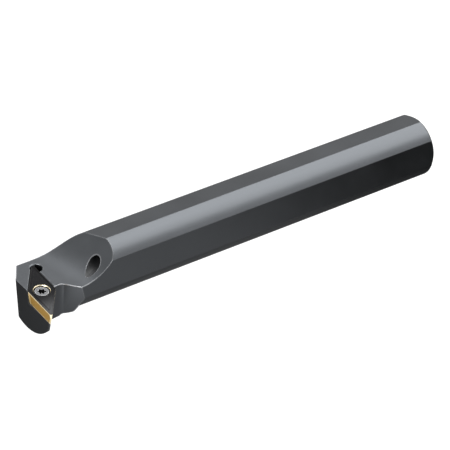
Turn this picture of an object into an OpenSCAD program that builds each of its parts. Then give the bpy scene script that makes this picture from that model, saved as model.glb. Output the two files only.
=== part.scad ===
// Indexable boring bar. A round shank with flats carries a turned head. A rhombic insert lies
// in a tilted pocket of the head, held by one countersunk screw, and a coolant bore leaves
// through the milled ramp behind it.
// Origin: centre of the rear end face, on the shank axis. +X points out of the rear end,
// +Z is square to the top flat. The cutting nose is at the -X end and reaches out to -Y.

/* [Shank] */
// Diameter of the round shank
shank_d = 16; // [15.6:0.1:17]
// Length from the cutting nose to the rear end
overall_length = 120.8; // [80:0.1:250]
// Height of the top flat above the shank axis
top_flat = 7.4; // [7:0.05:7.7]
// Depth of the bottom flat below the shank axis
bottom_flat = 7.4; // [7:0.05:7.7]
// Distance of the front flat from the shank axis
front_flat = 7.2; // [6.9:0.05:7.6]
// Chamfer round the rear end
end_chamfer = 0.8; // [0.1:0.05:1]

/* [Head] */
// Radius of the turned head at its front face
head_r = 9.9; // [9.5:0.05:10.4]
// How far the head's centre lies off the shank axis, to the nose side
head_offset = 2.3; // [1.5:0.05:2.8]
// Distance from the cutting nose back to the front face
face_setback = 0.58; // [0.5:0.01:0.9]
// Distance from the cutting nose back to the end of the turned head
head_length = 8.7; // [8:0.1:9.5]
// Taper of the head's underside towards the shank, in degrees
head_taper = 6; // [0:0.5:8]
// Radius of the collar behind the head
collar_r = 8.55; // [8.3:0.05:8.9]
// How far the collar's centre lies off the shank axis, to the nose side
collar_offset = 0.5; // [0:0.05:0.8]
// Distance from the cutting nose back to the end of the collar
collar_end = 11.3; // [10.5:0.1:13]
// Height of the rake plane above the shank axis, over that axis
rake_height = 0.97; // [0.6:0.01:1.4]
// Tilt of the rake plane about the bar, in degrees
rake_tilt = 11; // [8:0.5:13]
// Distance from the shank axis to the corner cut at the far side of the front face
corner_cut_from = 3.15; // [2:0.05:4]
// Angle of the corner cut, from the bar's direction, in degrees
corner_cut_angle = 55; // [45:1:70]

/* [Ramp] */
// Radius of the milled ramp that climbs from the rake plane to the top flat
ramp_r = 13.6; // [11:0.1:18]
// Distance from the cutting nose to where the ramp starts, over the shank axis
ramp_start = 10.1; // [9:0.1:14]
// Turn of the ramp across the bar, in degrees
ramp_turn = 12; // [0:0.5:20]

/* [Neck] */
// Distance from the shank axis to the neck wall, along the rake plane
neck_wall = 3.65; // [3:0.05:4.5]
// Distance from the cutting nose to the corner where the neck wall turns outwards
neck_corner = 9; // [8.6:0.1:11]
// Slope of the outer part of the neck, from the bar's direction, in degrees
neck_slope = 48; // [40:1:70]
// Radius in the neck's corner
neck_r = 1.6; // [0.5:0.1:2]
// Setback of the head's wall behind the insert's trailing edge
trail_setback = 0.7; // [0.42:0.01:0.9]

/* [Insert] */
// Diameter of the circle inscribed in the insert
insert_ic = 6.35; // [6:0.01:6.8]
// Angle of the insert's cutting corner, in degrees
insert_angle = 35; // [33:1:38]
// Thickness of the insert
insert_t = 3.18; // [2.8:0.01:3.6]
// Nose radius of the insert
nose_r = 0.4; // [0.4:0.1:0.8]
// Clearance angle of the insert's flanks, in degrees
clearance_angle = 7; // [3:0.5:7]
// Distance from the shank axis to the cutting nose
reach = 12.15; // [11.8:0.05:12.6]
// Angle of the front cutting edge off square, in degrees
lead_angle = 3; // [1:0.5:5]
// Diameter of the insert's hole
insert_hole_d = 2.8; // [2.7:0.05:3]
// Diameter of the countersink's rim in the rake face
rim_d = 4.2; // [3.9:0.05:4.4]
// Width of the land along the cutting edges
land_w = 0.2; // [0.1:0.05:0.3]
// Depth of the chip groove behind the land
groove_depth = 0.12; // [0.05:0.01:0.2]
// Width of the chip groove
groove_w = 0.6; // [0.4:0.05:0.7]
// Radius in the corners of the chip groove
groove_corner_r = 0.2; // [0.1:0.05:0.3]

/* [Clamping screw] */
// Nominal diameter of the screw
screw_d = 2.5; // [2:0.1:2.5]
// Length of the screw under the top of its head
screw_length = 7; // [6:0.1:8.5]
// Depth of the screw's head below the rake face
screw_sink = 0.5; // [0.3:0.05:0.7]
// Included angle of the countersink, in degrees
sink_angle = 60; // [50:1:70]
// Width of the six-lobe socket across its lobes
socket_d = 1.95; // [1.6:0.05:2.1]
// Depth of the socket
socket_depth = 0.9; // [0.5:0.05:1.2]
// Share of the socket's width that is its round core
socket_core = 0.72; // [0.68:0.01:0.76]
// Radius of the socket's lobes
lobe_r = 0.24; // [0.2:0.01:0.28]

/* [Coolant] */
// Diameter of the bore along the shank
coolant_d = 5; // [4:0.1:6]
// Chamfer at the mouth of the bore
inlet_chamfer = 0.4; // [0.2:0.05:0.8]
// Distance from the cutting nose to the closed end of the bore
coolant_end = 23; // [22:0.5:30]
// Diameter of the angled exit hole
exit_d = 3.1; // [2.5:0.1:3.4]
// Distance from the cutting nose to where the exit hole crosses the bore
exit_cross = 25.7; // [25:0.1:27]
// Turn of the exit hole across the bar, in degrees
exit_turn = 26.7; // [22:0.1:30]
// Fall of the exit hole towards the nose, in degrees
exit_fall = 2.7; // [0:0.1:4]
// Height of the exit hole above the shank axis where it crosses the bore
exit_rise = 2.6; // [2:0.05:3]

/* [Pocket and fits] */
// Diameter of the relief hole in the pocket's corner
relief_d = 2.8; // [2:0.1:3]
// Distance of the relief hole's centre from the pocket's sharp corner
relief_back = 1.95; // [1.5:0.05:2.2]
// Width of the broken edge round the pocket
edge_break = 0.25; // [0.1:0.05:0.3]
// Gap between the insert's flanks and the pocket's walls
seat_gap = 0.02; // [0.01:0.01:0.05]
// Radial clearance of the screw in the body and of its head in the countersink
screw_clearance = 0.02; // [0.01:0.01:0.05]

/* [Hidden] */
$fn = 96;
over = 1;                 // how far the cutters run past what they cut
far = 40;                 // reach of the large cutters
neck_steps = 12;          // flats that make up the round in the neck's corner
shank_r = shank_d / 2;
collar_drop = 2 * (collar_r - shank_r);   // enough to pass under the shank all round
nose_x = -overall_length;
face_x = nose_x + face_setback;
// Directions in the rake plane from the nose, along the front edge and the trailing edge
front_dir = [sin(lead_angle), cos(lead_angle)];
trail_angle = 90 - lead_angle - insert_angle;
trail_dir = [cos(trail_angle), sin(trail_angle)];
// Edge of the rhombus through the centres of the four rounded corners
centre_edge = (insert_ic - 2 * nose_r) / sin(insert_angle);
nose_centre = [nose_r, nose_r - reach / cos(rake_tilt)];
insert_centre = nose_centre + centre_edge / 2 * (front_dir + trail_dir);
back_centre = nose_centre + centre_edge * (front_dir + trail_dir);
flank_slope = tan(clearance_angle);
sink_slope = tan(sink_angle / 2);
sink_depth = (rim_d - insert_hole_d) / 2 / sink_slope;
head_top_r = rim_d / 2 - screw_sink * sink_slope - screw_clearance;

// Places its children on the rake plane: X from the nose, Y from the shank axis, Z square to it
module on_rake() {
    translate([nose_x, 0, rake_height]) rotate([rake_tilt, 0, 0]) children();
}

// Upright corner of the insert, widening upwards by the clearance angle, grown by a gap
module corner_cone(at, height, gap) {
    translate([at[0], at[1], -insert_t])
        cylinder(h = height, r1 = nose_r - insert_t * flank_slope + gap,
                 r2 = nose_r - (insert_t - height) * flank_slope + gap, $fn = 32);
}

module shank_blank() {
    rotate([0, -90, 0]) {
        cylinder(h = end_chamfer, r1 = shank_r - end_chamfer, r2 = shank_r);
        translate([0, 0, end_chamfer])
            cylinder(h = overall_length - face_setback - end_chamfer, r = shank_r);
    }
}

// Shoulder that falls at 45 degrees from a radius to the shank
module shoulder(from_r, drop) {
    cylinder(h = drop, r1 = from_r, r2 = from_r - drop);
}

// Eccentric head that tapers back from its front face, then a collar
module head_blank() {
    taper_length = head_length - face_setback;
    back_r = head_r - taper_length * tan(head_taper);
    translate([face_x, -head_offset, 0]) rotate([0, 90, 0]) {
        cylinder(h = taper_length, r1 = head_r, r2 = back_r);
        translate([0, 0, taper_length]) shoulder(back_r, head_offset);
    }
    translate([face_x, -collar_offset, 0]) rotate([0, 90, 0]) {
        cylinder(h = collar_end - face_setback, r = collar_r);
        translate([0, 0, collar_end - face_setback]) shoulder(collar_r, collar_drop);
    }
}

// Flats along the shank, which run forward as far as the neck
module flats() {
    flat_start = nose_x + neck_corner;
    translate([flat_start, -far, top_flat]) cube([overall_length, 2 * far, far]);
    translate([flat_start, -far - front_flat, -far]) cube([overall_length, far, 2 * far]);
    translate([nose_x + collar_end, -far, -bottom_flat - far]) cube([overall_length, 2 * far, far]);
}

// Everything above the rake plane, up to the ramp that climbs to the top flat
module ramp_cutter() {
    on_rake() translate([ramp_start, 0, 0]) rotate([0, 0, ramp_turn]) {
        translate([-far, -far, 0]) cube([far, 2 * far, far]);
        translate([0, -far, ramp_r]) rotate([-90, 0, 0]) cylinder(h = 2 * far, r = ramp_r);
    }
}

module corner_cutter() {
    translate([face_x, corner_cut_from, -far]) rotate([0, 0, corner_cut_angle])
        translate([-far, 0, 0]) cube([2 * far, far, 2 * far]);
}

// Plan of the neck: along the insert's trailing edge, along the neck wall, then outwards
module neck_plan() {
    wall_start = nose_centre + (nose_r - trail_setback) * [trail_dir[1], -trail_dir[0]];
    to_wall = (-neck_wall - wall_start[1]) / trail_dir[1];
    knee = wall_start + to_wall * trail_dir;
    tangent = neck_r * tan(neck_slope / 2);
    out_dir = [cos(neck_slope), -sin(neck_slope)];
    round_centre = [neck_corner - tangent, -neck_wall - neck_r];
    polygon(concat(
        [wall_start - far * trail_dir, knee],
        [for (i = [0:neck_steps])
            let (a = i * neck_slope / neck_steps) round_centre + neck_r * [sin(a), cos(a)]],
        [[neck_corner, -neck_wall] + far * out_dir]
    ));
}

module neck_cutter() {
    on_rake() translate([0, 0, -far]) linear_extrude(2 * far) neck_plan();
}

// Cone that breaks the upper edge of a wall of this radius at 45 degrees
module break_cone(wall_r) {
    inside = 0.2;
    translate([0, 0, -edge_break - inside])
        cylinder(h = edge_break + inside + over, r1 = wall_r - inside, r2 = wall_r + edge_break + over);
}

module pocket_cutter() {
    wall = 3 * centre_edge;
    corners = [back_centre, back_centre - wall * front_dir, back_centre - wall * trail_dir];
    on_rake() {
        hull() for (at = corners) corner_cone(at, insert_t + over, seat_gap);
        hull() for (at = corners) translate([at[0], at[1], 0])
            break_cone(nose_r - edge_break * flank_slope + seat_gap, $fn = 32);
        sharp = back_centre + nose_r / sin(insert_angle / 2)
            * [cos(trail_angle + insert_angle / 2), sin(trail_angle + insert_angle / 2)];
        translate([sharp[0], sharp[1] - relief_back, 0]) {
            translate([0, 0, -insert_t]) cylinder(h = insert_t + over, d = relief_d);
            break_cone(relief_d / 2);
        }
    }
}

module coolant_bores() {
    translate([over, 0, 0]) rotate([0, -90, 0]) {
        cylinder(h = overall_length - coolant_end + over, d = coolant_d);
        cylinder(h = inlet_chamfer + over, r1 = coolant_d / 2 + inlet_chamfer + over,
                 r2 = coolant_d / 2);
    }
    translate([nose_x + exit_cross, 0, exit_rise]) rotate([0, -exit_fall, exit_turn])
        rotate([0, -90, 0]) translate([0, 0, -exit_d / 2]) cylinder(h = far, d = exit_d);
}

module bar() {
    color("#4d4f52") difference() {
        union() {
            shank_blank();
            head_blank();
        }
        flats();
        ramp_cutter();
        corner_cutter();
        neck_cutter();
        pocket_cutter();
        coolant_bores();
        on_rake() translate([insert_centre[0], insert_centre[1], -far])
            cylinder(h = far, d = screw_d + 2 * screw_clearance);
    }
}

// Chip groove round the rake face: a sunk ring between the land and the middle of the face
module chip_groove() {
    difference() {
        groove_body(land_w, groove_depth);
        groove_body(land_w + groove_w, groove_depth + over);
    }
}

module groove_body(inset, depth) {
    half_edge = (insert_ic / 2 - inset - groove_corner_r) / sin(insert_angle);
    hull() for (i = [-1, 1], j = [-1, 1]) {
        at = insert_centre + half_edge * (i * front_dir + j * trail_dir);
        translate([at[0], at[1], -depth]) cylinder(h = depth + over, r = groove_corner_r, $fn = 24);
    }
}

module insert() {
    color("#b08a3e") on_rake() difference() {
        hull() {
            corner_cone(nose_centre, insert_t, 0);
            corner_cone(nose_centre + centre_edge * front_dir, insert_t, 0);
            corner_cone(nose_centre + centre_edge * trail_dir, insert_t, 0);
            corner_cone(back_centre, insert_t, 0);
        }
        translate([insert_centre[0], insert_centre[1], -insert_t - over])
            cylinder(h = insert_t + 2 * over, d = insert_hole_d);
        translate([insert_centre[0], insert_centre[1], -sink_depth])
            cylinder(h = sink_depth + over, d1 = insert_hole_d,
                     r2 = rim_d / 2 + over * sink_slope);
        chip_groove();
    }
}

module socket_plan() {
    circle(d = socket_core * socket_d);
    for (i = [0:5]) rotate([0, 0, i * 60 + 30]) translate([socket_d / 2 - lobe_r, 0]) circle(lobe_r);
}

module clamping_screw() {
    cone_h = (head_top_r - screw_d / 2) / sink_slope;
    color("#9a9c9f") on_rake() translate([insert_centre[0], insert_centre[1], -screw_sink])
        difference() {
            union() {
                translate([0, 0, -cone_h]) cylinder(h = cone_h, r1 = screw_d / 2, r2 = head_top_r);
                translate([0, 0, -screw_length]) cylinder(h = screw_length - cone_h / 2, d = screw_d);
            }
            translate([0, 0, -socket_depth]) linear_extrude(socket_depth + over) socket_plan();
        }
}

bar();
insert();
clamping_screw();
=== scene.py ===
import math

import bmesh
import bpy
from mathutils import Matrix, Vector


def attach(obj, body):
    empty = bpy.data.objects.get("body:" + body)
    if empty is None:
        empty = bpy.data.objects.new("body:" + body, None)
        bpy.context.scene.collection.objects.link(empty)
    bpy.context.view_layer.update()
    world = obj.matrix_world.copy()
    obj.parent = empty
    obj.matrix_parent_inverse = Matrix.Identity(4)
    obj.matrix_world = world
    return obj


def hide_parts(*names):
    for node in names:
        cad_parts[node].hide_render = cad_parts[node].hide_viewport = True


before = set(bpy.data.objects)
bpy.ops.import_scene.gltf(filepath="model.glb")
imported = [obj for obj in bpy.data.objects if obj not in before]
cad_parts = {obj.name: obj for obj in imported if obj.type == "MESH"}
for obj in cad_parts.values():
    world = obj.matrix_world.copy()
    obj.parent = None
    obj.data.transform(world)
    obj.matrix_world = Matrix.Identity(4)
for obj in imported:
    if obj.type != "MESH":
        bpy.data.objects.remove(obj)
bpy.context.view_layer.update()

mm = 0.001
lean = math.radians(11)     # the rake face leans this much about the bar
rakeUp = Vector((0, -math.sin(lean), math.cos(lean)))
holeCentre = Vector((-0.117168, -0.003272, 0.000334))     # the insert's hole, level with its rake face
sameFace = math.radians(0.3)     # CAD triangles this level with each other become one face
smoothUnder = math.radians(30)
runOut = 0.0005 * mm     # points at a bevel's end that are this close become one
square = 0.999     # a face is square to an axis when its normal goes this far along it


def deselectAll():
    for thing in bpy.context.selected_objects:
        thing.select_set(False)
    bpy.context.view_layer.objects.active = None


def pick(thing):
    deselectAll()
    thing.select_set(True)
    bpy.context.view_layer.objects.active = thing


def fromHole(point):
    # height over the rake face, and the way out from the hole's axis
    rise = (point - holeCentre).dot(rakeUp)
    return rise, point - holeCentre - rakeUp * rise


def newGroup(name, inputs, outputs):
    group = bpy.data.node_groups.new(name, "ShaderNodeTree")
    for label, kind, value in inputs:
        socket = group.interface.new_socket(label, in_out="INPUT", socket_type=kind)
        if value is not None:
            socket.default_value = value
    for label, kind in outputs:
        group.interface.new_socket(label, in_out="OUTPUT", socket_type=kind)
    return group, group.nodes.new("NodeGroupInput"), group.nodes.new("NodeGroupOutput")


def addNode(tree, kind, settings=None, values=None):
    node = tree.nodes.new(kind)
    for key, value in (settings or {}).items():
        setattr(node, key, value)
    for key, value in (values or {}).items():
        node.inputs[key].default_value = value
    return node


def addRamp(tree, source, start, end, low=0.0, high=1.0, smooth=False):
    # goes from low to high while the source goes from start to end
    ramp = addNode(tree, "ShaderNodeMapRange",
                   {"interpolation_type": "SMOOTHSTEP" if smooth else "LINEAR"},
                   {"From Min": start, "From Max": end, "To Min": low, "To Max": high})
    tree.links.new(source, ramp.inputs["Value"])
    return ramp.outputs["Result"]


def addMath(tree, operation, first, second):
    node = addNode(tree, "ShaderNodeMath", {"operation": operation})
    tree.links.new(first, node.inputs[0])
    tree.links.new(second, node.inputs[1])
    return node.outputs["Value"]


def addVectorMath(tree, operation, source, fixed=None):
    node = addNode(tree, "ShaderNodeVectorMath", {"operation": operation})
    tree.links.new(source, node.inputs[0])
    if fixed is not None:
        node.inputs[1].default_value = fixed
    return node


def addTint(tree, mask, base, colour):
    # lays one colour over the base where the mask is 1
    mix = addNode(tree, "ShaderNodeMix", {"data_type": "RGBA"})
    mix.inputs[7].default_value = tuple(colour) + (1,)
    tree.links.new(mask, mix.inputs[0])
    tree.links.new(base, mix.inputs[6])
    return mix.outputs[2]


# shared by all the finishes
finish = {
    "bumpHeight": 0.02 * mm,     # how far the grain and the tool marks stand out
    "roughSpread": 0.04,
    "noise": (0.3, 0.7),         # most of a noise texture's values lie between these
    # how much of the inside nearby is solid, from a plain face to a lightened edge, partly worn and
    # partly painted highlight
    "solid": (0.9, 0.58),
    # the grain's values from the faintest lightened edge to the strongest, and how strong the faintest is
    "wear": (0.25, 0.6),
    "leastWear": 0.6,
}


def makeGrainGroup():
    # blasted and blackened skin: fine grain over slow patches
    group, start, end = newGroup(
        "Satin Grain",
        [("Vector", "NodeSocketVector", None), ("Grain Size", "NodeSocketFloat", 9000.0),
         ("Patch Size", "NodeSocketFloat", 90.0)],
        [("Grain", "NodeSocketFloat"), ("Patches", "NodeSocketFloat")])
    link = group.links.new
    for label, size, detail in (("Grain", "Grain Size", 4.0), ("Patches", "Patch Size", 3.0)):
        noise = addNode(group, "ShaderNodeTexNoise", None, {"Detail": detail, "Roughness": 0.6})
        link(start.outputs["Vector"], noise.inputs["Vector"])
        link(start.outputs[size], noise.inputs["Scale"])
        link(noise.outputs["Fac"], end.inputs[label])
    return group


def makeMarksGroup():
    # fine lines left by a cutter or a grinding wheel, short across and long along
    group, start, end = newGroup(
        "Tool Marks",
        [("Vector", "NodeSocketVector", None), ("Across", "NodeSocketVector", (1.0, 1.0, 1.0))],
        [("Lines", "NodeSocketFloat")])
    link = group.links.new
    drawn = addVectorMath(group, "MULTIPLY", start.outputs["Vector"])
    link(start.outputs["Across"], drawn.inputs[1])
    lines = addNode(group, "ShaderNodeTexNoise", None, {"Scale": 1.0, "Detail": 2.0, "Roughness": 0.7})
    link(drawn.outputs["Vector"], lines.inputs["Vector"])
    link(lines.outputs["Fac"], end.inputs["Lines"])
    return group


def makeEdgeGroup():
    # a mask that is 1 where an outer edge is lighter, partly rubbed bare and partly a painted highlight,
    # and the normal eased over it
    group, start, end = newGroup(
        "Rubbed And Highlit Edges",
        [("Reach", "NodeSocketFloat", 0.0003), ("Round", "NodeSocketFloat", 0.0001),
         ("Wear", "NodeSocketFloat", 0.5), ("Amount", "NodeSocketFloat", 1.0)],
        [("Mask", "NodeSocketFloat"), ("Normal", "NodeSocketVector")])
    link = group.links.new
    inner = addNode(group, "ShaderNodeAmbientOcclusion",
                    {"inside": True, "only_local": True, "samples": 8})
    link(start.outputs["Reach"], inner.inputs["Distance"])
    sharp = addRamp(group, inner.outputs["AO"], *finish["solid"])
    uneven = addRamp(group, start.outputs["Wear"], *finish["wear"], finish["leastWear"], 1.0)
    wearAndHighlight = addMath(group, "MULTIPLY", sharp, uneven)
    link(addMath(group, "MULTIPLY", wearAndHighlight, start.outputs["Amount"]), end.inputs["Mask"])
    eased = addNode(group, "ShaderNodeBevel", {"samples": 4})
    link(start.outputs["Round"], eased.inputs["Radius"])
    link(eased.outputs["Normal"], end.inputs["Normal"])
    return group


def calmEdges(tree, place, edges, calm):
    # painted shade: the lightened edges are made fainter near one spot and at the ends of the piece than
    # the others
    gap = addVectorMath(tree, "DISTANCE", place, calm["spot"])
    amount = addRamp(tree, gap.outputs["Value"], calm["near"], calm["far"], calm["spotEdgeLight"], 1.0)
    split = addNode(tree, "ShaderNodeSeparateXYZ")
    tree.links.new(place, split.inputs["Vector"])
    for calmAt, litAt in calm["ends"]:
        wear = addRamp(tree, split.outputs["X"], calmAt, litAt, calm["endEdgeLight"], 1.0)
        amount = addMath(tree, "MULTIPLY", wear, amount)
    tree.links.new(amount, edges.inputs["Amount"])


def addMarks(tree, place, normal, marks):
    link = tree.links.new
    lines = addNode(tree, "ShaderNodeGroup", {"node_tree": marksGroup}, {"Across": marks["across"]})
    if marks.get("rings"):
        # rings round the bar's own axis, as a facing cut leaves them
        flat = addVectorMath(tree, "MULTIPLY", place, (0, 1, 1))
        radius = addVectorMath(tree, "LENGTH", flat.outputs["Vector"])
        reach = addNode(tree, "ShaderNodeCombineXYZ")
        link(radius.outputs["Value"], reach.inputs["X"])
        place = reach.outputs["Vector"]
    link(place, lines.inputs["Vector"])
    cut = addNode(tree, "ShaderNodeBump", None,
                  {"Strength": marks["depth"], "Distance": finish["bumpHeight"]})
    link(lines.outputs["Lines"], cut.inputs["Height"])
    link(normal, cut.inputs["Normal"])
    return cut.outputs["Normal"]


def makeMetal(name, look, marks=None):
    mat = bpy.data.materials.new(name)
    mat.use_nodes = True
    tree = mat.node_tree
    tree.nodes.clear()
    link = tree.links.new
    out = addNode(tree, "ShaderNodeOutputMaterial")
    shader = addNode(tree, "ShaderNodeBsdfPrincipled", None, {"Metallic": look["metallic"]})
    link(shader.outputs["BSDF"], out.inputs["Surface"])
    place = addNode(tree, "ShaderNodeTexCoord").outputs["Object"]
    grain = addNode(tree, "ShaderNodeGroup", {"node_tree": grainGroup})
    link(place, grain.inputs["Vector"])
    edges = addNode(tree, "ShaderNodeGroup", {"node_tree": edgeGroup},
                    {"Reach": look["edgeReach"], "Round": look["edgeRound"]})
    link(grain.outputs["Grain"], edges.inputs["Wear"])
    if "calm" in look:
        calmEdges(tree, place, edges, look["calm"])

    # base colour: patches, then the fades of painted highlight and sheen, then the lightened edges,
    # partly worn and partly painted highlight
    patches = addNode(tree, "ShaderNodeMix", {"data_type": "RGBA"})
    patches.inputs[6].default_value = [c * (1 - look["patchy"]) for c in look["colour"]] + [1]
    patches.inputs[7].default_value = [min(c * (1 + look["patchy"]), 1) for c in look["colour"]] + [1]
    link(grain.outputs["Patches"], patches.inputs[0])
    base = patches.outputs[2]
    for fade in look.get("fades", []):
        along = addVectorMath(tree, "DOT_PRODUCT", place, fade["along"])
        mask = addRamp(tree, along.outputs["Value"], fade["start"], fade["end"], smooth=True)
        base = addTint(tree, mask, base, fade["colour"])
    # edges lightened, partly as wear and partly as a painted highlight
    base = addTint(tree, edges.outputs["Mask"], base, look["edgeColour"])
    link(base, shader.inputs["Base Color"])

    rough = addRamp(tree, grain.outputs["Patches"], *finish["noise"],
                    look["roughness"] - finish["roughSpread"], look["roughness"] + finish["roughSpread"])
    link(rough, shader.inputs["Roughness"])
    bump = addNode(tree, "ShaderNodeBump", None,
                   {"Strength": look["bump"], "Distance": finish["bumpHeight"]})
    link(grain.outputs["Grain"], bump.inputs["Height"])
    link(edges.outputs["Normal"], bump.inputs["Normal"])
    normal = bump.outputs["Normal"]
    if marks:
        normal = addMarks(tree, place, normal, marks)
    link(normal, shader.inputs["Normal"])
    return mat


def copyOfNode(nodeName, name, merge):
    # the CAD node stays as it is; its loose triangles are merged in this copy
    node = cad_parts[nodeName]
    mesh = node.data.copy()
    mesh.name = name
    mesh.transform(node.matrix_world)
    mesh.materials.clear()
    piece = bpy.data.objects.new(name, mesh)
    bpy.context.scene.collection.objects.link(piece)
    pick(piece)
    bpy.ops.object.mode_set(mode="EDIT")
    bpy.ops.mesh.select_mode(type="EDGE")
    bpy.ops.mesh.select_all(action="SELECT")
    bpy.ops.mesh.remove_doubles(threshold=merge)
    bpy.ops.mesh.dissolve_limited(angle_limit=sameFace)
    bpy.ops.mesh.select_all(action="DESELECT")
    bpy.ops.object.mode_set(mode="OBJECT")
    return piece


def breakEdges(piece, width, angle, tight=()):
    # bevels every edge that turns by more than the angle, but not in the tight spots
    pick(piece)
    bpy.ops.object.mode_set(mode="EDIT")
    bpy.ops.mesh.select_mode(type="EDGE")
    bpy.ops.mesh.select_all(action="DESELECT")
    form = bmesh.from_edit_mesh(piece.data)
    for edge in form.edges:
        middle = (edge.verts[0].co + edge.verts[1].co) / 2
        sharp = edge.is_manifold and edge.calc_face_angle(0) > math.radians(angle)
        crowded = any((middle - Vector(spot)).length < reach for spot, reach in tight)
        edge.select_set(sharp and not crowded)
    bmesh.update_edit_mesh(piece.data)
    bpy.ops.mesh.bevel(offset=width, segments=2, profile=0.5, clamp_overlap=False)
    # where a bevel runs out, its last points fall on one another
    bpy.ops.mesh.select_all(action="SELECT")
    bpy.ops.mesh.remove_doubles(threshold=runOut)
    bpy.ops.mesh.dissolve_degenerate(threshold=runOut)
    bpy.ops.mesh.select_all(action="DESELECT")
    bpy.ops.object.mode_set(mode="OBJECT")


def dress(piece, materials, nodeName):
    for mat in materials:
        piece.data.materials.append(mat)
    pick(piece)
    bpy.ops.object.shade_smooth_by_angle(angle=smoothUnder)
    # large faces keep their own normals, the bevels take up the turn
    weighted = piece.modifiers.new("weighted normals", "WEIGHTED_NORMAL")
    weighted.mode = "FACE_AREA"
    weighted.weight = 50
    weighted.keep_sharp = True
    bpy.ops.object.modifier_apply(modifier=weighted.name)
    deselectAll()
    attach(piece, "root")
    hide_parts(nodeName)


print("stage 1: finishes shared by the pieces")
grainGroup = makeGrainGroup()
marksGroup = makeMarksGroup()
edgeGroup = makeEdgeGroup()

print("stage 2: the steel bar")
barLook = {
    "steel": {
        "colour": (0.0915, 0.0968, 0.1035),
        "patchy": 0.1,
        "edgeColour": (0.62, 0.63, 0.65),
        "metallic": 1.0,
        "roughness": 0.36,
        "bump": 0.12,
        "edgeReach": 0.3 * mm,
        "edgeRound": 0.12 * mm,
        # painted shade, edges lightened less: round a spot on the coolant exit's rim, and at the ends,
        # from calm to fully lightened
        "calm": {
            "spot": (-0.1011, -0.0027, 0.0038),
            "near": 1.0 * mm,
            "far": 3.4 * mm,
            "spotEdgeLight": 0.25,
            "ends": [(-0.12002, -0.11972), (-0.00066, -0.00076)],
            "endEdgeLight": 0.12,
        },
    },
    # the walls of the coolant bore and of its exit hole, painted near-black as shade inside the holes
    "bore": {
        "colour": (0.024, 0.025, 0.026),
        "patchy": 0.2,
        "edgeColour": (0.12, 0.125, 0.13),
        "metallic": 0.0,
        "roughness": 0.5,
        "bump": 0.3,
        "edgeReach": 0.3 * mm,
        "edgeRound": 0.12 * mm,
    },
    "turned": {"across": (5200, 60, 60), "depth": 0.06},
    "ground": {"across": (60, 5200, 5200), "depth": 0.05},
    "faced": {"across": (5200, 0, 0), "depth": 0.06, "rings": True},
    "merge": 0.001 * mm,
    "edgeWidth": 0.08 * mm,
    "edgeAngle": 15,
    # the ramp's cylinder: where it starts on the rake face, its radius and its turn across the bar,
    # and how far its corners may be off and how far a face has to look inward
    "ramp": {"start": (-0.1107, 0, 0.00097), "radius": 13.6 * mm, "turn": math.radians(12),
             "slack": 0.04 * mm, "inward": 0.95},
    "flats": {"from": -0.112, "height": 7.3 * mm},     # the ground ones lie behind the head
    # walls of the bore and of its exit: along their axes, round them, and how much a face may lean
    "boreWall": {"from": -98.5 * mm, "to": -0.5 * mm, "radius": 2.52 * mm, "lean": 0.9},
    "exitWall": {"start": (-0.0951, 0, 0.0026), "turn": math.radians(26.7), "fall": math.radians(2.7),
                 "from": -2 * mm, "to": 12 * mm, "radius": 1.57 * mm, "lean": 0.12},
    # here edges run too close together for a bevel: place and reach
    "tight": [((-0.10947, 0.0065, -0.0008), 4.8 * mm), ((0, -0.0072, 0), 1.7 * mm),
              ((-0.10098, -0.003, 0.00387), 0.4 * mm), ((-0.09684, -0.00257, 0.00216), 0.4 * mm),
              ((-0.11150, -0.0022, -0.00845), 0.4 * mm)],
}


def onGroundFlat(face):
    level = abs(face.normal.z) > square and abs(face.center.z) > barLook["flats"]["height"]
    return face.center.x > barLook["flats"]["from"] and (level or face.normal.y < -square)


def inBore(face):
    bore = barLook["boreWall"]
    return (bore["from"] < face.center.x < bore["to"] and abs(face.normal.x) < bore["lean"]
            and math.hypot(face.center.y, face.center.z) < bore["radius"])


def inExit(face):
    hole = barLook["exitWall"]
    turn = Matrix.Rotation(hole["turn"], 3, "Z") @ Matrix.Rotation(-hole["fall"], 3, "Y")
    way = turn @ Vector((-1, 0, 0))
    out = face.center - Vector(hole["start"])
    along = out.dot(way)
    return (hole["from"] < along < hole["to"] and abs(face.normal.dot(way)) < hole["lean"]
            and (out - way * along).length < hole["radius"])


bar = copyOfNode("bar", "bar_body", barLook["merge"])
breakEdges(bar, barLook["edgeWidth"], barLook["edgeAngle"], barLook["tight"])
turnedSteel = makeMetal("turned black steel", barLook["steel"], barLook["turned"])
groundSteel = makeMetal("ground black steel", barLook["steel"], barLook["ground"])
facedSteel = makeMetal("faced black steel", barLook["steel"], barLook["faced"])
boreShadeSteel = makeMetal("bore painted shade", barLook["bore"], barLook["turned"])
dress(bar, [turnedSteel, groundSteel, facedSteel, boreShadeSteel], "bar")
for face in bar.data.polygons:
    if onGroundFlat(face):
        face.material_index = 1
    elif abs(face.normal.x) > square:
        face.material_index = 2
    # the bore and exit walls take the painted shade
    elif inBore(face) or inExit(face):
        face.material_index = 3

# the ramp's long faces take their normals from its cylinder, so that it shines as one round
ramp = barLook["ramp"]
acrossBar = math.cos(ramp["turn"])
axis = Vector((-math.sin(ramp["turn"]), acrossBar * math.cos(lean), acrossBar * math.sin(lean)))
centre = Vector(ramp["start"]) + rakeUp * ramp["radius"]
normals = [corner.vector.copy() for corner in bar.data.corner_normals]
rounded = 0
for face in bar.data.polygons:
    inward = [centre - bar.data.vertices[index].co for index in face.vertices]
    inward = [way - axis * way.dot(axis) for way in inward]
    if (all(abs(way.length - ramp["radius"]) < ramp["slack"] for way in inward)
            and face.normal.dot(inward[0].normalized()) > ramp["inward"]):
        rounded += 1
        for corner, way in zip(face.loop_indices, inward):
            normals[corner] = way.normalized()
bar.data.normals_split_custom_set(normals)
print("faces on the ramp:", rounded)

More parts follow.
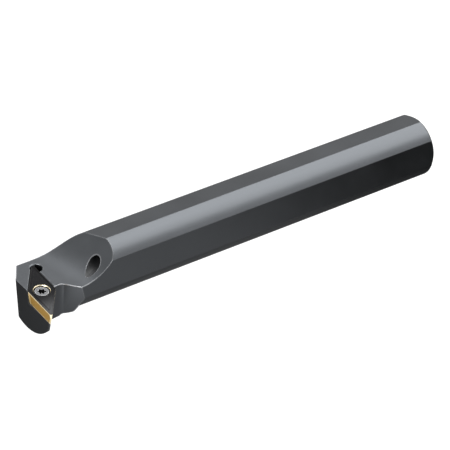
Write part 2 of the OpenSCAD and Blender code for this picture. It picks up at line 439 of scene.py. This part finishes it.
print("stage 3: the insert")
insertLook = {
    "gold": {
        "colour": (0.38, 0.215, 0.037),
        "patchy": 0.14,
        "edgeColour": (1.0, 0.88, 0.6),
        "metallic": 0.35,
        "roughness": 0.34,
        "bump": 0.4,
        "edgeReach": 0.42 * mm,
        "edgeRound": 0.05 * mm,
        # painted highlights: the nose and the far corner are made brighter
        "fades": [{"along": (0, -1, 0), "start": 0.01155, "end": 0.0118, "colour": (1.0, 0.88, 0.6)},
                  {"along": (0, 1, 0), "start": -0.0028, "end": -0.0025, "colour": (0.75, 0.55, 0.25)}],
    },
    # the countersink's rim, painted cream as a highlight
    "rim": {
        "colour": (0.95, 0.84, 0.6),
        "patchy": 0.06,
        "edgeColour": (1.0, 0.92, 0.7),
        "metallic": 1.0,
        "roughness": 0.3,
        "bump": 0.1,
        "edgeReach": 0.05 * mm,
        "edgeRound": 0.03 * mm,
    },
    "black": {
        "colour": (0.012, 0.012, 0.013),
        "patchy": 0.1,
        "edgeColour": (0.04, 0.039, 0.036),
        "metallic": 1.0,
        "roughness": 0.36,
        "bump": 0.12,
        "edgeReach": 0.12 * mm,
        "edgeRound": 0.05 * mm,
        # painted sheen: the black coat is lighter towards the cutting nose
        "fades": [{"along": (0, -1, 0), "start": 0.0048, "end": 0.0108,
                   "colour": (0.074, 0.075, 0.077)}],
    },
    "merge": 0.01 * mm,
    "edgeWidth": 0.025 * mm,
    "edgeAngle": 40,
    "rimBand": 0.2 * mm,         # how deep the rim's painted highlight reaches into the countersink
    "rimRadius": 2.1 * mm,
    "sinkDepth": 1.3 * mm,
    # flanks lie this far from the hole's axis: across the insert, at its corners, and under the groove
    "flankOut": 3.1 * mm,
    "cornerOut": 9.3 * mm,
    "grooveDepth": 0.3 * mm,
    "holeOut": 2.3 * mm,
    # how far up faces look: flanks less than this, rounded edges less, the rim less, the countersink more
    "flankUp": 0.3,
    "edgeUp": 0.9,
    "rimUp": 0.98,
    "sinkUp": 0.2,
    "flankTurn": 0.95,     # flanks whose normals share less than this go different ways
    # painted shade: the edge at the back and all that the pocket hides take the black coat too
    "backTurn": 0.05,
    "backDepth": 0.05 * mm,
    "pocketFrom": -1.8 * mm,
}
insert = copyOfNode("insert", "insert_body", insertLook["merge"])
# the countersink is cut once round, where the rim's painted highlight ends
pick(insert)
bpy.ops.object.mode_set(mode="EDIT")
bpy.ops.mesh.select_mode(type="FACE")
form = bmesh.from_edit_mesh(insert.data)
for face in form.faces:
    rise, out = fromHole(face.calc_center_median())
    inSink = out.length < insertLook["rimRadius"] and rise > -insertLook["sinkDepth"]
    face.select_set(inSink and face.normal.dot(rakeUp) > insertLook["sinkUp"])
bmesh.update_edit_mesh(insert.data)
bpy.ops.mesh.bisect(plane_co=holeCentre - rakeUp * insertLook["rimBand"], plane_no=rakeUp)
bpy.ops.object.mode_set(mode="OBJECT")
breakEdges(insert, insertLook["edgeWidth"], insertLook["edgeAngle"])
gold = makeMetal("gold coat", insertLook["gold"])
black = makeMetal("black coat", insertLook["black"])
rimHighlight = makeMetal("rim painted highlight", insertLook["rim"])
dress(insert, [gold, black, rimHighlight], "insert")
# two ways across the flanks tell the outer walls from those of the groove
flanks = [face for face in insert.data.polygons if abs(face.normal.dot(rakeUp)) < insertLook["flankUp"]]
flanks.sort(key=lambda face: -face.area)
first = flanks[0].normal
second = next(face.normal for face in flanks if abs(face.normal.dot(first)) < insertLook["flankTurn"])
across = [(normal - rakeUp * normal.dot(rakeUp)).normalized() for normal in (first, second)]
for face in insert.data.polygons:
    rise, out = fromHole(face.center)
    upward = face.normal.dot(rakeUp)
    onFlank = (max(abs(out.dot(way)) for way in across) > insertLook["flankOut"]
               or out.length > insertLook["cornerOut"]
               or rise < -insertLook["grooveDepth"] and out.length > insertLook["holeOut"])
    onRim = (rise > -insertLook["rimBand"] and out.length < insertLook["rimRadius"]
             and upward < insertLook["rimUp"])
    onBackEdge = face.normal.y > insertLook["backTurn"] and rise > -insertLook["backDepth"]
    inPocket = face.center.y > insertLook["pocketFrom"]
    # the rim's painted highlight
    if onRim:
        face.material_index = 2
    # the rake face is black; the back edge and the pocket's hidden faces get the black coat as painted
    # shade
    elif not onFlank or upward >= insertLook["edgeUp"] or onBackEdge or inPocket:
        face.material_index = 1

print("stage 4: the clamping screw")
screwLook = {
    "steel": {
        "colour": (0.22, 0.224, 0.232),
        "patchy": 0.06,
        "edgeColour": (0.7, 0.7, 0.71),
        "metallic": 1.0,
        "roughness": 0.26,
        "bump": 0.12,
        "edgeReach": 0.12 * mm,
        "edgeRound": 0.05 * mm,
    },
    # the socket's inside, painted near-black as shade
    "socket": {
        "colour": (0.016, 0.016, 0.017),
        "patchy": 0.06,
        "edgeColour": (0.3, 0.3, 0.31),
        "metallic": 0.8,
        "roughness": 0.45,
        "bump": 0.12,
        "edgeReach": 0.06 * mm,
        "edgeRound": 0.04 * mm,
    },
    "merge": 0.001 * mm,
    "edgeWidth": 0.03 * mm,
    "edgeAngle": 40,
    "lift": 0.16 * mm,     # the head stands a little prouder than the plain solid's
    "slim": 0.95,
    "socketSpread": 1.1,
    # depths under the rake face: of the head's rim, of its socket, and of the painted shade in there
    "headDepth": 0.9 * mm,
    "socketDepth": 1.42 * mm,
    "socketRadius": 1.05 * mm,
    "darkFrom": 0.4 * mm,
    "darkTo": 1.5 * mm,
    "darkRadius": 1.12 * mm,
}
screw = copyOfNode("clamping_screw", "screw_body", screwLook["merge"])
for vert in screw.data.vertices:
    rise, out = fromHole(vert.co)
    inSocket = out.length < screwLook["socketRadius"] and rise > -screwLook["socketDepth"]
    if inSocket or rise > -screwLook["headDepth"]:
        size = screwLook["socketSpread"] if inSocket else screwLook["slim"]
        vert.co += out * (size - 1) + rakeUp * screwLook["lift"]
breakEdges(screw, screwLook["edgeWidth"], screwLook["edgeAngle"])
brightSteel = makeMetal("bright screw steel", screwLook["steel"])
socketShadeSteel = makeMetal("socket painted shade", screwLook["socket"])
dress(screw, [brightSteel, socketShadeSteel], "clamping_screw")
# the socket's inside takes the painted shade
for face in screw.data.polygons:
    rise, out = fromHole(face.center)
    if out.length < screwLook["darkRadius"] and screwLook["darkFrom"] < -rise < screwLook["darkTo"]:
        face.material_index = 1

print("stage 5: studio")
studio = {
    "world": 0.62,
    "floorDrop": 0.025,
    "floorSize": 4,
    "paper": 0.2,
    "paperGlow": 0.85,
    "cardLift": 0.5 * mm,
    "cardSize": 2.4,
    # glowing spots on the card under the bar, painted reflections which only its shine sees: centre,
    # radius, level
    "spots": [
        ((-0.16, -0.06), 0.06, 1.3),
        ((-0.16, -0.01), 0.06, 0.28),
        ((-0.16, 0.05), 0.06, 0.22),
        ((-0.11, -0.06), 0.06, 0.6),
        ((-0.11, -0.01), 0.06, 0.18),
        ((-0.06, -0.06), 0.06, 0.66),
        ((-0.06, -0.01), 0.06, 0.22),
        ((-0.01, -0.06), 0.06, 0.11),
        ((-0.01, -0.01), 0.06, 0.09),
        ((-0.145, -0.03), 0.03, 2.3),
        ((-0.108, -0.02), 0.026, 0.32),
        ((-0.035, -0.03), 0.035, 0.13),
    ],
    # name, direction, length along the bar, width, level
    "softboxes": [
        ("key", (0.52, -0.119, 0.846), 0.9, 0.72, 3.5),
        ("side", (0.52, -0.774, 0.361), 0.9, 0.6, 0.7),
        ("high", (0.52, 0.427, 0.74), 0.9, 0.3, 0.56),
        ("backLeft", (-0.13, 0.725, 0.68), 0.4, 0.4, 2.15),
        ("frontLeft", (-0.8, -0.4, 0.45), 0.4, 0.4, 5.8),
    ],
    "aim": (-0.06, 0, 0),     # the middle of the bar, and how far off the softboxes stand
    "away": 0.7,
}
world = bpy.data.worlds.new("studio")
bpy.context.scene.world = world
world.use_nodes = True
world.node_tree.nodes["Background"].inputs["Color"].default_value = (1, 1, 1, 1)
world.node_tree.nodes["Background"].inputs["Strength"].default_value = studio["world"]


def addSheet(name, size, height):
    deselectAll()
    bpy.ops.mesh.primitive_plane_add(size=size, location=(0, 0, height))
    sheet = bpy.context.object
    sheet.name = name
    bpy.ops.object.transform_apply(location=True, rotation=False, scale=False)
    mat = bpy.data.materials.new(name)
    mat.use_nodes = True
    mat.node_tree.nodes.clear()
    sheet.data.materials.append(mat)
    return sheet


# the floor is pale paper from above, and a camera under it looks through
tree = addSheet("floor", studio["floorSize"], -studio["floorDrop"]).active_material.node_tree
link = tree.links.new
paper = addNode(tree, "ShaderNodeBsdfDiffuse", None, {"Color": (studio["paper"],) * 3 + (1,)})
glow = addNode(tree, "ShaderNodeEmission", None, {"Color": (1, 1, 1, 1), "Strength": studio["paperGlow"]})
front = addNode(tree, "ShaderNodeAddShader")
clear = addNode(tree, "ShaderNodeBsdfTransparent")
side = addNode(tree, "ShaderNodeNewGeometry")
either = addNode(tree, "ShaderNodeMixShader")
out = addNode(tree, "ShaderNodeOutputMaterial")
link(paper.outputs["BSDF"], front.inputs[0])
link(glow.outputs["Emission"], front.inputs[1])
link(side.outputs["Backfacing"], either.inputs[0])
link(front.outputs["Shader"], either.inputs[1])
link(clear.outputs["BSDF"], either.inputs[2])
link(either.outputs["Shader"], out.inputs["Surface"])

# the dark card lies just over the floor, out of the camera's sight, and shades the steel's underside
cardHeight = studio["cardLift"] - studio["floorDrop"]
card = addSheet("card", studio["cardSize"], cardHeight)
card.visible_camera = False
card.visible_diffuse = False
card.visible_transmission = False
card.visible_shadow = False
tree = card.active_material.node_tree
link = tree.links.new
place = addNode(tree, "ShaderNodeTexCoord").outputs["Object"]
total = None
for spot, radius, level in studio["spots"]:
    gap = addVectorMath(tree, "DISTANCE", place, spot + (cardHeight,))
    soft = addRamp(tree, gap.outputs["Value"], 0.0, radius, level, 0.0, smooth=True)
    total = soft if total is None else addMath(tree, "ADD", total, soft)
glow = addNode(tree, "ShaderNodeEmission", None, {"Color": (1, 1, 1, 1)})
out = addNode(tree, "ShaderNodeOutputMaterial")
link(total, glow.inputs["Strength"])
link(glow.outputs["Emission"], out.inputs["Surface"])


def addSoftbox(name, direction, along, across, level):
    light = bpy.data.lights.new(name, "AREA")
    light.shape = "RECTANGLE"
    light.size = along
    light.size_y = across
    light.energy = level * math.pi * along * across
    lamp = bpy.data.objects.new(name, light)
    bpy.context.scene.collection.objects.link(lamp)
    away = Vector(direction).normalized()
    sideways = (Vector((1, 0, 0)) - away * away.x).normalized()
    turn = Matrix((sideways, away.cross(sideways), away)).transposed().to_4x4()
    lamp.matrix_world = Matrix.Translation(Vector(studio["aim"]) + away * studio["away"]) @ turn


for box in studio["softboxes"]:
    addSoftbox(*box)

# the camera as it was fitted to the photo
view = {
    "lens": 227.45,
    "sensor": 36,
    "clip": (0.01, 10),
    "place": (-0.4253262, -0.505405, 0.3111096),
    "right": (0.79813858, -0.60101308, -0.04192938),
    "up": (0.30078559, 0.33720376, 0.89208837),
    "back": (-0.52201804, -0.7246219, 0.44991141),
}
camera = bpy.data.cameras.new("camera")
camera.lens = view["lens"]
camera.sensor_width = view["sensor"]
camera.clip_start, camera.clip_end = view["clip"]
eye = bpy.data.objects.new("camera", camera)
bpy.context.scene.collection.objects.link(eye)
turn = Matrix((view["right"], view["up"], view["back"])).transposed().to_4x4()
eye.matrix_world = Matrix.Translation(Vector(view["place"])) @ turn
bpy.context.scene.camera = eye
bpy.context.scene.view_settings.view_transform = "Standard"
